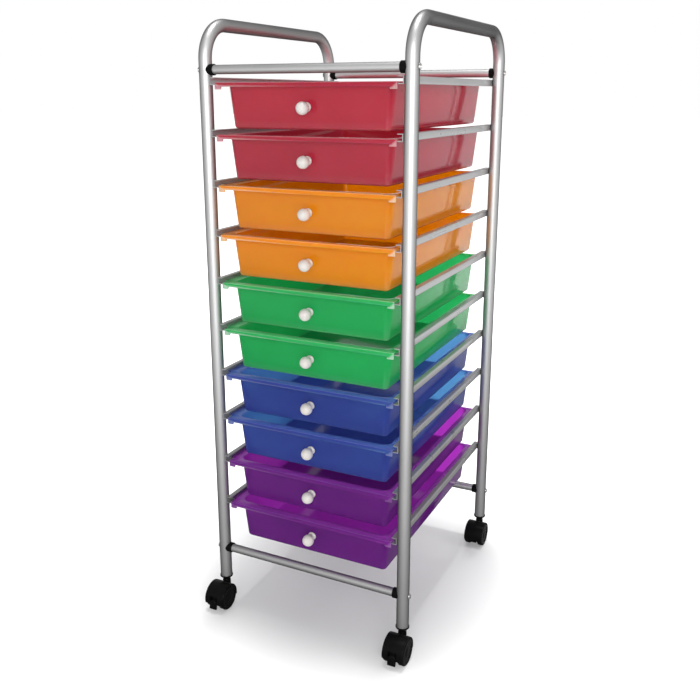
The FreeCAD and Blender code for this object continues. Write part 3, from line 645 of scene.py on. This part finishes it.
def railMesh(node, side):
    low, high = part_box(node)
    depth, height, sheet = (high.x - low.x) / mm, rail["height"], rail["sheet"]
    inward = (high.x if side < 0 else low.x) / mm
    base = high.z / mm - height
    front, rear = low.y / mm, high.y / mm

    def place(across, up, y):
        return (inward + side * across, y, base + up)

    bm = bmesh.new()
    outline = channelOutline(depth)
    ends = [[bm.verts.new(place(across, up, y)) for across, up in outline] for y in (front, rear - sheet)]
    joinRings(bm, *ends)
    for ring in ends:
        for step in range(len(outline) // 2 - 1):
            bm.faces.new((ring[step], ring[step + 1], ring[-2 - step], ring[-1 - step]))
    stop = [(0.0, 0.0), (depth, 0.0), (depth, height), (0.0, height)]
    addExtruded(bm, stop, rear - sheet, rear, place, rail["stopRound"])
    # a weld bead above and below, on each post
    bead = arcPoints((0.0, 0.0), 1.0, -90, 90, rail["weldRings"])
    size = Matrix.Diagonal((*rail["weld"], 1.0))
    for along in (-postY / mm, postY / mm):
        for edge in (-1, 1):
            up = base + height * (0.5 + rail["weldShare"] * edge)
            dot = Matrix.Translation((side * (postX - postRadius) / mm, along, up))
            addTurned(bm, bead, rail["weldSteps"], dot @ size)
    return meshFrom(bm, node)


trayLows = [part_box(f"drawer_{level + 1:02d}")[0] for level in range(levels)]
pitch = (trayLows[0].z - trayLows[-1].z) / (levels - 1)
for side, name in ((-1, "left"), (1, "right")):
    node = f"rails_{name}"
    rails = grownMesh(node, railMesh(node, side), downTheStack, "railPaint", {
        "Count": levels, "Pitch": pitch})
    addPiece(f"rails.{name}", rails, "frame", node)
print("rails:", levels, "on each side, pitch", round(pitch / mm, 2))


# trays

tray = {"halfWidth": 123.0, "front": 176.5, "rear": 182.0, "draft": 6.5, "height": 64.0, "corner": 7.0,
        "cornerSteps": 8, "bottomRound": 5.0, "bottomSteps": 6, "wall": 2.0, "wallLevels": (20.0, 35.0, 50.0),
        "floor": 2.0, "insideRound": 3.0, "insideSteps": 5, "flangeHalf": 147.0, "flangeRear": 192.3,
        "flangeThickness": 2.0, "flangeEdge": 0.6, "flangeRoot": 1.0, "flangeCorner": 4.0, "shoulder": 180.8,
        "shoulderCorner": 1.0, "lipHalf": 140.1, "lipFront": 195.8, "lipCorner": 1.2, "lipCornerSteps": 2,
        "lipBegin": 3.0, "lipDrop": 5.4, "lipCover": 0.9, "lipRound": 0.45, "stopWidth": 10.0,
        "stopDrop": 4.2, "sharp": 30}


def trayRing(grow, z):
    # rounded rectangle, counterclockwise from the front right corner
    corner = tray["corner"]
    right, front, rear = tray["halfWidth"] - corner, corner - tray["front"], tray["rear"] - corner
    points = []
    for x, y, start in ((right, front, -90), (right, rear, 0), (-right, rear, 90), (-right, front, 180)):
        points += arcPoints((x, y), corner + grow, start, start + 90, tray["cornerSteps"])
    return [(x, y, z) for x, y in points]


def flangeRing(inset, z):
    # the rim plate with its narrower lip in front; as many points for each corner as the tray's ring
    half, lip = tray["flangeHalf"] - inset, tray["lipHalf"] - inset
    front, shoulder, rear = inset - tray["lipFront"], inset - tray["shoulder"], tray["flangeRear"] - inset
    small, notch, large = tray["lipCorner"], tray["shoulderCorner"], tray["flangeCorner"]
    right = [(lip - tray["lipBegin"], front)]
    right += arcPoints((lip - small, front + small), small, -90, 0, tray["lipCornerSteps"])
    right += [(lip, shoulder - notch), (lip + notch, shoulder)]
    right += arcPoints((half - small, shoulder + small), small, -90, 0, tray["lipCornerSteps"])
    right += arcPoints((half - large, rear - large), large, 0, 90, tray["cornerSteps"])
    left = [(-x, y) for x, y in right[::-1]]
    return [(x, y, z) for x, y in right + left]


def trayShell():
    # rings from the edge of the underside, up the outside, over the rim and down to the floor inside
    lean = math.radians(tray["draft"])
    slope = math.tan(lean)
    height, floor, wall, root = tray["height"], tray["floor"], tray["wall"], tray["flangeRoot"]
    under, edge = height - tray["flangeThickness"], tray["flangeEdge"]
    out, inside = tray["bottomRound"], tray["insideRound"]
    middle = out * slope - out / math.cos(lean)
    bend = arcPoints((middle, out), out, -90, -tray["draft"], tray["bottomSteps"])
    loops = [trayRing(grow, z) for grow, z in bend]
    loops += [trayRing(z * slope, z) for z in (*tray["wallLevels"], under - root)]
    loops += [trayRing(under * slope + root / 4, under - root / 4), trayRing(under * slope + root, under)]
    rounding = ((edge, 0.0), (midEdge * edge, midEdge * edge), (0.0, edge))
    loops += [flangeRing(inset, under + rise) for inset, rise in rounding]
    loops += [flangeRing(inset, height - drop) for inset, drop in rounding[::-1]]
    for grow, drop in ((root, 0.0), (midEdge * root, midEdge * root), (0.0, root)):
        loops.append(trayRing((height - drop) * slope - wall + grow, height - drop))
    loops += [trayRing(z * slope - wall, z) for z in tray["wallLevels"][::-1]]
    middle = (floor + inside) * slope - wall - inside / math.cos(lean)
    bend = arcPoints((middle, floor + inside), inside, -tray["draft"], -90, tray["insideSteps"])
    loops += [trayRing(grow, z) for grow, z in bend]
    bm = bmesh.new()
    rings = [[bm.verts.new(point) for point in loop] for loop in loops]
    joinStack(bm, rings)
    bm.faces.new(rings[0])
    bm.faces.new(rings[-1])
    return meshFrom(bm, "trayShell", tray["sharp"])


def traySkirt():
    # strip under the lip, with a stop at each end
    half, low, top = tray["lipHalf"], tray["height"] - tray["lipDrop"], tray["height"] - tray["lipCover"]
    stop, tip = half - tray["stopWidth"], low - tray["stopDrop"]
    outline = [(-half, tip), (-stop, tip), (-stop, low), (stop, low),
               (stop, tip), (half, tip), (half, top), (-half, top)]
    front, back = -tray["lipFront"], tray["flangeThickness"] - tray["lipFront"]
    return extrudedMesh(outline, front, back, lambda x, z, y: (x, y, z), tray["lipRound"], "traySkirt")


trayMaster = combined(trayShell(), traySkirt(), "UNION", "tray")
stackColours = [colour for colour in trayColours for repeat in range(2)]
for level, colour in enumerate(stackColours):
    number = f"{level + 1:02d}"
    mesh = trayMaster.copy()
    mesh.transform(Matrix.Translation((0.0, 0.0, trayLows[level].z)))
    addPiece(f"tray.{number}", painted(mesh, colour), f"tray_{number}", f"drawer_{number}")
print("trays:", levels)


# knobs

knob = {"height": 31.0, "ball": 9.0, "ballSteps": 24, "reach": 13.5, "neck": 4.5, "foot": 6.5,
        "footHeight": 2.0, "footEdge": 0.3, "footTaper": 0.1, "footSide": 0.7,
        "flare": ((0.9, 0.1), (0.25, 0.8)), "joinOut": 0.6, "joinDrop": 1.0, "steps": 48}


def knobMesh():
    ball, reach, neck = knob["ball"], knob["reach"], knob["neck"]
    foot, rise, edge = knob["foot"], knob["footHeight"], knob["footEdge"]
    profile = [(0.0, 0.0), (foot - edge, 0.0), (foot, edge)]
    profile.append((foot - knob["footTaper"], rise * knob["footSide"]))
    profile += [(neck + out, rise + up) for out, up in knob["flare"]]
    begin = math.asin((neck + knob["joinOut"]) / ball)
    profile.append((neck, reach - ball * math.cos(begin) - knob["joinDrop"]))
    profile += arcPoints((0.0, reach), ball, math.degrees(begin) - 90, 90, knob["ballSteps"])
    return turnedMesh(profile, knob["steps"], "knob")


knobMaster = knobMesh()
tilt = Matrix.Rotation(math.radians(90 + tray["draft"]), 4, "X")
knobFront = -(tray["front"] + knob["height"] * math.tan(math.radians(tray["draft"]))) * mm
for level in range(levels):
    number = f"{level + 1:02d}"
    mesh = knobMaster.copy()
    mesh.transform(Matrix.Translation((0.0, knobFront, trayLows[level].z + knob["height"] * mm)) @ tilt)
    addPiece(f"knob.{number}", painted(mesh, "knobWhite"), f"tray_{number}", f"knob_{number}")
print("knobs:", levels)


# caster sockets

socket = {"rim": 10.5, "rimHeight": 2.0, "rimBegin": 0.5, "edge": 0.4, "neck": 5.75, "neckHeight": 1.5,
          "drop": 8.0, "flare": 0.85, "flareSteps": 8, "plug": 8.2, "plugHeight": 6.0, "steps": 48}


def socketMesh(foot):
    rim, neck, edge, plug = socket["rim"], socket["neck"], socket["edge"], socket["plug"]
    low, under = foot - socket["drop"], foot - socket["rimHeight"]
    shoulder, top = low + socket["neckHeight"], foot + socket["plugHeight"]
    profile = [(0.0, low), (neck - edge, low), (neck, low + edge), (neck, shoulder)]
    for step in range(1, socket["flareSteps"] + 1):
        share = step / socket["flareSteps"]
        out = neck + (rim - neck) * share ** socket["flare"]
        profile.append((out, shoulder + (under - shoulder) * share))
    small = midEdge * edge
    profile += [(rim, under + socket["rimBegin"]), (rim, foot - edge), (rim - small, foot - small),
                (rim - edge, foot), (plug, foot), (plug, top), (0.0, top)]
    return turnedMesh(profile, socket["steps"], "socket")


sockets = grownMesh("sockets", socketMesh(postLow.z / mm), atPosts, "blackPlastic", {
    "Across": 2 * postX, "Along": 2 * postY})
addPiece("casterSockets", sockets, "frame", "caster_sockets")


# casters, modelled about the post's axis and moved to each corner

caster = {"trail": 18.0, "axle": 20.0, "inner": 20.8, "innerEdge": 0.3, "outer": 22.5, "half": 16.5,
          "edge": 1.0, "edgeSteps": 4, "sweep": 205.0, "steps": 56, "webHalf": 6.5, "webDrop": 9.0,
          "webInset": 0.15, "webRound": 0.5, "webSteps": 40, "boss": 6.5, "bossTop": 41.0, "bossEdge": 1.0,
          "bossSteps": 40}
wheel = {"radius": 20.0, "width": 10.0, "edge": 2.2, "edgeSteps": 6, "inside": 7.0, "bore": 3.05, "rim": 4.6,
         "rimEdge": (0.3, 0.15), "dish": 0.8, "cap": 6.0, "capFoot": (0.6, 0.2, 0.15),
         "capEdge": (0.3, 0.6, 0.1), "capDepth": 2.0, "steps": 64, "sharp": 32}
lever = {"pivot": (-33.0, 25.0), "eye": 3.5, "eyeEdge": 0.3, "eyeSteps": 32, "eyeHalf": 4.2, "half": 6.5,
         "pin": 1.7, "pinPlay": 0.05, "pinSteps": 24, "gapHalf": 6.8, "gapFront": -60.0, "play": 0.3,
         "earFront": 3.4, "earDrop": 3.5, "earWall": 0.4, "earRound": 0.4, "elbow": (-40.8, 21.5),
         "toe": (-43.0, 8.0), "thickness": 3.0, "pedalRound": 0.7, "armIn": (0.5, 0.3), "armDrop": 0.2,
         "armRound": 0.3, "ribShares": (0.55, 0.7, 0.85), "ribHalf": 5.0, "ribOut": 0.15, "ribIn": 0.65,
         "ribRise": 0.5, "ribRound": 0.3}
atPivot = Matrix.Translation((0.0, *lever["pivot"])) @ zToX


def archMesh():
    # hood shell over both wheels, its side edges rounded
    half, edge, inner, outer = caster["half"], caster["edge"], caster["inner"], caster["outer"]
    small, steps = caster["innerEdge"], caster["edgeSteps"]
    section = [(small - half, inner), (half - small, inner), (half, inner + small)]
    section += arcPoints((half - edge, outer - edge), edge, 0, 90, steps)
    section += arcPoints((edge - half, outer - edge), edge, 90, 180, steps)
    section.append((-half, inner + small))
    begin, end = 90 - caster["sweep"] / 2, 90 + caster["sweep"] / 2
    bm = bmesh.new()
    rings = []
    for y, z in arcPoints((0.0, 0.0), 1.0, begin, end, caster["steps"]):
        rings.append([bm.verts.new((x, radius * y - caster["trail"], caster["axle"] + radius * z))
                      for x, radius in section])
    joinStack(bm, rings)
    bm.faces.new(rings[0])
    bm.faces.new(rings[-1])
    return meshFrom(bm, "hoodShell")


def webMesh():
    # round web between the wheels, cut off level below the axle
    radius, half = caster["outer"] - caster["webInset"], caster["webHalf"]
    begin = -math.degrees(math.asin(caster["webDrop"] / radius))
    outline = arcPoints((-caster["trail"], caster["axle"]), radius, begin, 180 - begin, caster["webSteps"])
    return extrudedMesh(outline, -half, half, alongX, caster["webRound"], "hoodWeb")


def hoodMesh(braked):
    pivotY, pivotZ = lever["pivot"]
    back, roof = pivotY + lever["eye"] + lever["play"], pivotZ + lever["eye"] + lever["play"]
    shell = combined(archMesh(), webMesh(), "UNION", "hoodShell")
    if braked:
        opening = [(lever["gapFront"], 0.0), (back, 0.0), (back, roof), (lever["gapFront"], roof)]
        gap = extrudedMesh(opening, -lever["gapHalf"], lever["gapHalf"], alongX, 0.0, "leverOpening")
        shell = combined(shell, gap, "DIFFERENCE", "hoodShell")
    bm = bmesh.new()
    bm.from_mesh(shell)
    bmesh.ops.scale(bm, vec=(1 / mm, 1 / mm, 1 / mm), verts=bm.verts)
    boss, axle, top, edge = caster["boss"], caster["axle"], caster["bossTop"], caster["bossEdge"]
    small = midEdge * edge
    addTurned(bm, [(0.0, axle), (boss, axle), (boss, top - edge), (boss - small, top - small),
                   (boss - edge, top), (0.0, top)], caster["bossSteps"])
    if braked:
        # ears beside the lever's eye, and the pin through them
        wall, front, low = lever["earWall"], pivotY - lever["earFront"], pivotZ - lever["earDrop"]
        ear = [(front, low), (back + wall, low), (back + wall, roof + wall), (front, roof + wall)]
        for side in (-1, 1):
            inner, outer = sorted((side * (lever["eyeHalf"] + lever["play"]), side * lever["half"]))
            addExtruded(bm, ear, inner, outer, alongX, lever["earRound"])
        pin, half = lever["pin"], lever["half"]
        addTurned(bm, [(0.0, -half), (pin, -half), (pin, half), (0.0, half)], lever["pinSteps"], atPivot)
    return meshFrom(bm, "hood")


def wheelMesh(side):
    # tread with rounded shoulders and a dished outer face round a hub cap
    near, far = wheel["inside"], wheel["inside"] + wheel["width"]
    edge, dish, cap, bore = wheel["edge"], wheel["dish"], wheel["cap"], wheel["bore"]
    shoulder, rim = wheel["radius"] - edge, wheel["radius"] - wheel["rim"]
    rimOut, rimDrop = wheel["rimEdge"]
    footOut, footIn, footRise = wheel["capFoot"]
    capDrop, capIn, capCrown = wheel["capEdge"]
    profile = [(bore, near)]
    profile += arcPoints((shoulder, near + edge), edge, -90, 0, wheel["edgeSteps"])
    profile += arcPoints((shoulder, far - edge), edge, 0, 90, wheel["edgeSteps"])
    profile += [(rim + rimOut, far), (rim, far - rimDrop), (rim - dish, far - dish)]
    profile += [(cap + footOut, far - dish), (cap + footIn, far - dish + footRise), (cap, far - capDrop),
                (cap - capIn, far - capCrown), (cap / 2, far), (0.0, far)]
    profile += [(0.0, far - wheel["capDepth"]), (bore, far - wheel["capDepth"])]
    bm = bmesh.new()
    addTurned(bm, profile, wheel["steps"], Matrix.Rotation(side * math.pi / 2, 4, "Y"), closed=True)
    return meshFrom(bm, "wheel", wheel["sharp"])


def leverMesh():
    (elbowY, elbowZ), (toeY, toeZ) = lever["elbow"], lever["toe"]
    pivotY, thick, reach, half = lever["pivot"][0], lever["thickness"], lever["eyeHalf"], lever["half"]
    bm = bmesh.new()
    pedal = [(elbowY + thick, elbowZ - thick), (toeY + thick, toeZ), (toeY, toeZ), (elbowY, elbowZ)]
    addExtruded(bm, pedal, -half, half, alongX, lever["pedalRound"])
    lowIn, highIn = lever["armIn"]
    arm = [(pivotY, elbowZ), (elbowY + thick, elbowZ - thick), (elbowY + lowIn, elbowZ - thick),
           (elbowY + highIn, elbowZ - lever["armDrop"]), (pivotY, elbowZ + lever["eye"])]
    addExtruded(bm, arm, -reach, reach, alongX, lever["armRound"])
    bore, eye, edge = lever["pin"] + lever["pinPlay"], lever["eye"], lever["eyeEdge"]
    addTurned(bm, [(bore, -reach), (eye - edge, -reach), (eye, edge - reach), (eye, reach - edge),
                   (eye - edge, reach), (bore, reach)], lever["eyeSteps"], atPivot, closed=True)
    # grip ribs across the pedal
    for share in lever["ribShares"]:
        y, z = elbowY + share * (toeY - elbowY), elbowZ + share * (toeZ - elbowZ)
        front, back, rise = y - lever["ribOut"], y + lever["ribIn"], lever["ribRise"]
        rib = [(back, z - rise), (front, z - rise), (front, z + rise), (back, z + rise)]
        addExtruded(bm, rib, -lever["ribHalf"], lever["ribHalf"], alongX, lever["ribRound"])
    return meshFrom(bm, "lever")


hoodMasters = {True: hoodMesh(True), False: hoodMesh(False)}
wheelMasters = {side: wheelMesh(side) for side in (-1, 1)}
leverMaster = leverMesh()
for corner, (across, along) in cartCorners.items():
    atPost = Matrix.Translation((across * postX, along * postY, 0.0))
    atAxle = atPost @ Matrix.Translation((0.0, -caster["trail"] * mm, caster["axle"] * mm))
    hood = hoodMasters[along < 0].copy()
    hood.transform(atPost)
    addPiece(f"casterHood.{corner}", painted(hood, "blackPlastic"), f"caster_{corner}",
             f"caster_hood_{corner}")
    for place, side in (("outer", across), ("inner", -across)):
        disc = wheelMasters[side].copy()
        disc.transform(atAxle)
        node = f"wheel_{corner}_{place}"
        addPiece(f"wheel.{corner}.{place}", painted(disc, "wheelPlastic"), node, node)
    if along < 0:
        pedal = leverMaster.copy()
        pedal.transform(atPost)
        node = f"brake_lever_{corner}"
        addPiece(f"brakeLever.{corner}", painted(pedal, "blackPlastic"), node, node)
print("casters: 4 hoods, 8 wheels, 2 levers")

# pieces kept from the frame
kept = ["caster_stems"] + [f"caster_axle_{corner}" for corner in cartCorners]
kept += [f"knob_screw_{level + 1:02d}" for level in range(levels)]
for node in kept:
    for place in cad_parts[node].material_slots:
        place.material = finishes["brightSteel"]
print("kept with new finish:", len(kept))


# floor, light and camera

studio = {"floorSize": 60.0, "floorTones": (0.68, 0.6936), "toneScale": 2.0, "toneDetail": 2.0,
          "floorRough": 0.9, "glowReach": (0.18, 0.5), "floorGlow": (0.10, 0.84), "mirrorFloor": 0.20,
          "farReach": (0.9, 2.0), "farGlow": 0.75, "ambient": 0.50, "walls": (0.58, 0.35),
          "wallReach": (0.05, 0.75)}


def buildFloor():
    # the camera sees it white away from the shadow; reflections see grey close by and white farther off
    half = studio["floorSize"] / 2
    mesh = bpy.data.meshes.new("floor")
    corners = [(-half, -half, 0.0), (half, -half, 0.0), (half, half, 0.0), (-half, half, 0.0)]
    mesh.from_pydata(corners, [], [(0, 1, 2, 3)])
    floor = looseObject("floor", mesh)
    paint = bpy.data.materials.new("paleFloor")
    paint.use_nodes = True
    tree = paint.node_tree
    shader = tree.nodes["Principled BSDF"]
    shader.inputs["Roughness"].default_value = studio["floorRough"]
    shader.inputs["Specular IOR Level"].default_value = 0.0
    shader.inputs["Emission Color"].default_value = grey(1.0)
    place = objectPlace(tree)
    seen = tree.nodes.new("ShaderNodeLightPath").outputs
    plain, paler = studio["floorTones"]
    patches = noiseAt(tree, place, studio["toneScale"], studio["toneDetail"])
    tone = mixed(tree, patches, grey(plain), grey(paler))
    colour = mixed(tree, seen["Is Glossy Ray"], tone, grey(studio["mirrorFloor"]))
    distance = vectorMath(tree, "LENGTH", place)["Value"]
    glow = ranged(tree, distance, *studio["glowReach"], *studio["floorGlow"], smooth=True)
    straight = reckon(tree, "MAXIMUM", seen["Is Camera Ray"], seen["Is Transmission Ray"])
    far = ranged(tree, distance, *studio["farReach"], 0.0, studio["farGlow"], smooth=True)
    direct = reckon(tree, "MULTIPLY", glow, straight)
    strength = reckon(tree, "MULTIPLY_ADD", far, seen["Is Glossy Ray"], direct)
    tree.links.new(colour, shader.inputs["Base Color"])
    tree.links.new(strength, shader.inputs["Emission Strength"])
    mesh.materials.append(paint)


def buildWorld():
    # the camera sees white; reflections see grey walls and a darker ceiling
    world = bpy.data.worlds.new("studio")
    bpy.context.scene.world = world
    world.use_nodes = True
    tree = world.node_tree
    back = tree.nodes["Background"]
    back.inputs["Color"].default_value = grey(1.0)
    seen = tree.nodes.new("ShaderNodeLightPath").outputs
    direction = tree.nodes.new("ShaderNodeTexCoord").outputs["Generated"]
    ceiling = ranged(tree, heightOf(tree, direction), *studio["wallReach"], *studio["walls"], smooth=True)
    shown = reckon(tree, "MAXIMUM", ceiling, seen["Is Camera Ray"])
    either = reckon(tree, "MAXIMUM", seen["Is Camera Ray"], seen["Is Glossy Ray"])
    straight = reckon(tree, "MAXIMUM", either, seen["Is Transmission Ray"])
    tree.links.new(ranged(tree, straight, 0.0, 1.0, studio["ambient"], shown), back.inputs["Strength"])


lamps = {
    "overhead": {"place": (0.0, 0.2, 5.5), "aim": (0.0, 0.0, 0.0), "size": (0.9, 0.9), "watts": 168.0},
    "front": {"place": (1.1, -2.2, 1.1), "aim": (0.05, 0.0, 0.7), "size": (1.6, 1.4), "watts": 32.0},
    "side": {"place": (2.1, 0.4, 1.7), "aim": (0.0, 0.0, 0.5), "size": (0.9, 1.2), "watts": 10.0},
    "backdrop": {"place": (-0.3, 2.3, 1.2), "aim": (0.0, 0.0, 0.6), "size": (2.6, 1.6), "watts": 40.0},
}
mirroredLamps = ("overhead", "front")


def addLamp(name, settings):
    light = bpy.data.lights.new(name, "AREA")
    light.shape = "RECTANGLE"
    light.size, light.size_y = settings["size"]
    light.energy = settings["watts"]
    lamp = looseObject(name, light)
    lamp.visible_camera = False
    lamp.visible_glossy = name in mirroredLamps
    lamp.location = settings["place"]
    ray = Vector(settings["aim"]) - Vector(settings["place"])
    lamp.rotation_euler = ray.to_track_quat("-Z", "Y").to_euler()


view = {"place": (0.5686, -1.2039, 0.8231), "turn": 26.159, "tilt": 14.551, "lens": 42.73, "sensor": 36.0,
        "shift": -0.0571}


def addCamera():
    lens = bpy.data.cameras.new("camera")
    lens.sensor_width = view["sensor"]
    lens.lens = view["lens"]
    lens.shift_y = view["shift"]
    camera = looseObject("camera", lens)
    camera.location = view["place"]
    camera.rotation_euler = (math.radians(90 - view["tilt"]), 0.0, math.radians(view["turn"]))
    bpy.context.scene.camera = camera


buildFloor()
buildWorld()
for lampName, lampSettings in lamps.items():
    addLamp(lampName, lampSettings)
addCamera()
bpy.context.scene.view_settings.view_transform = "Standard"
print("stage: floor, world,", len(lamps), "lamps and the camera")
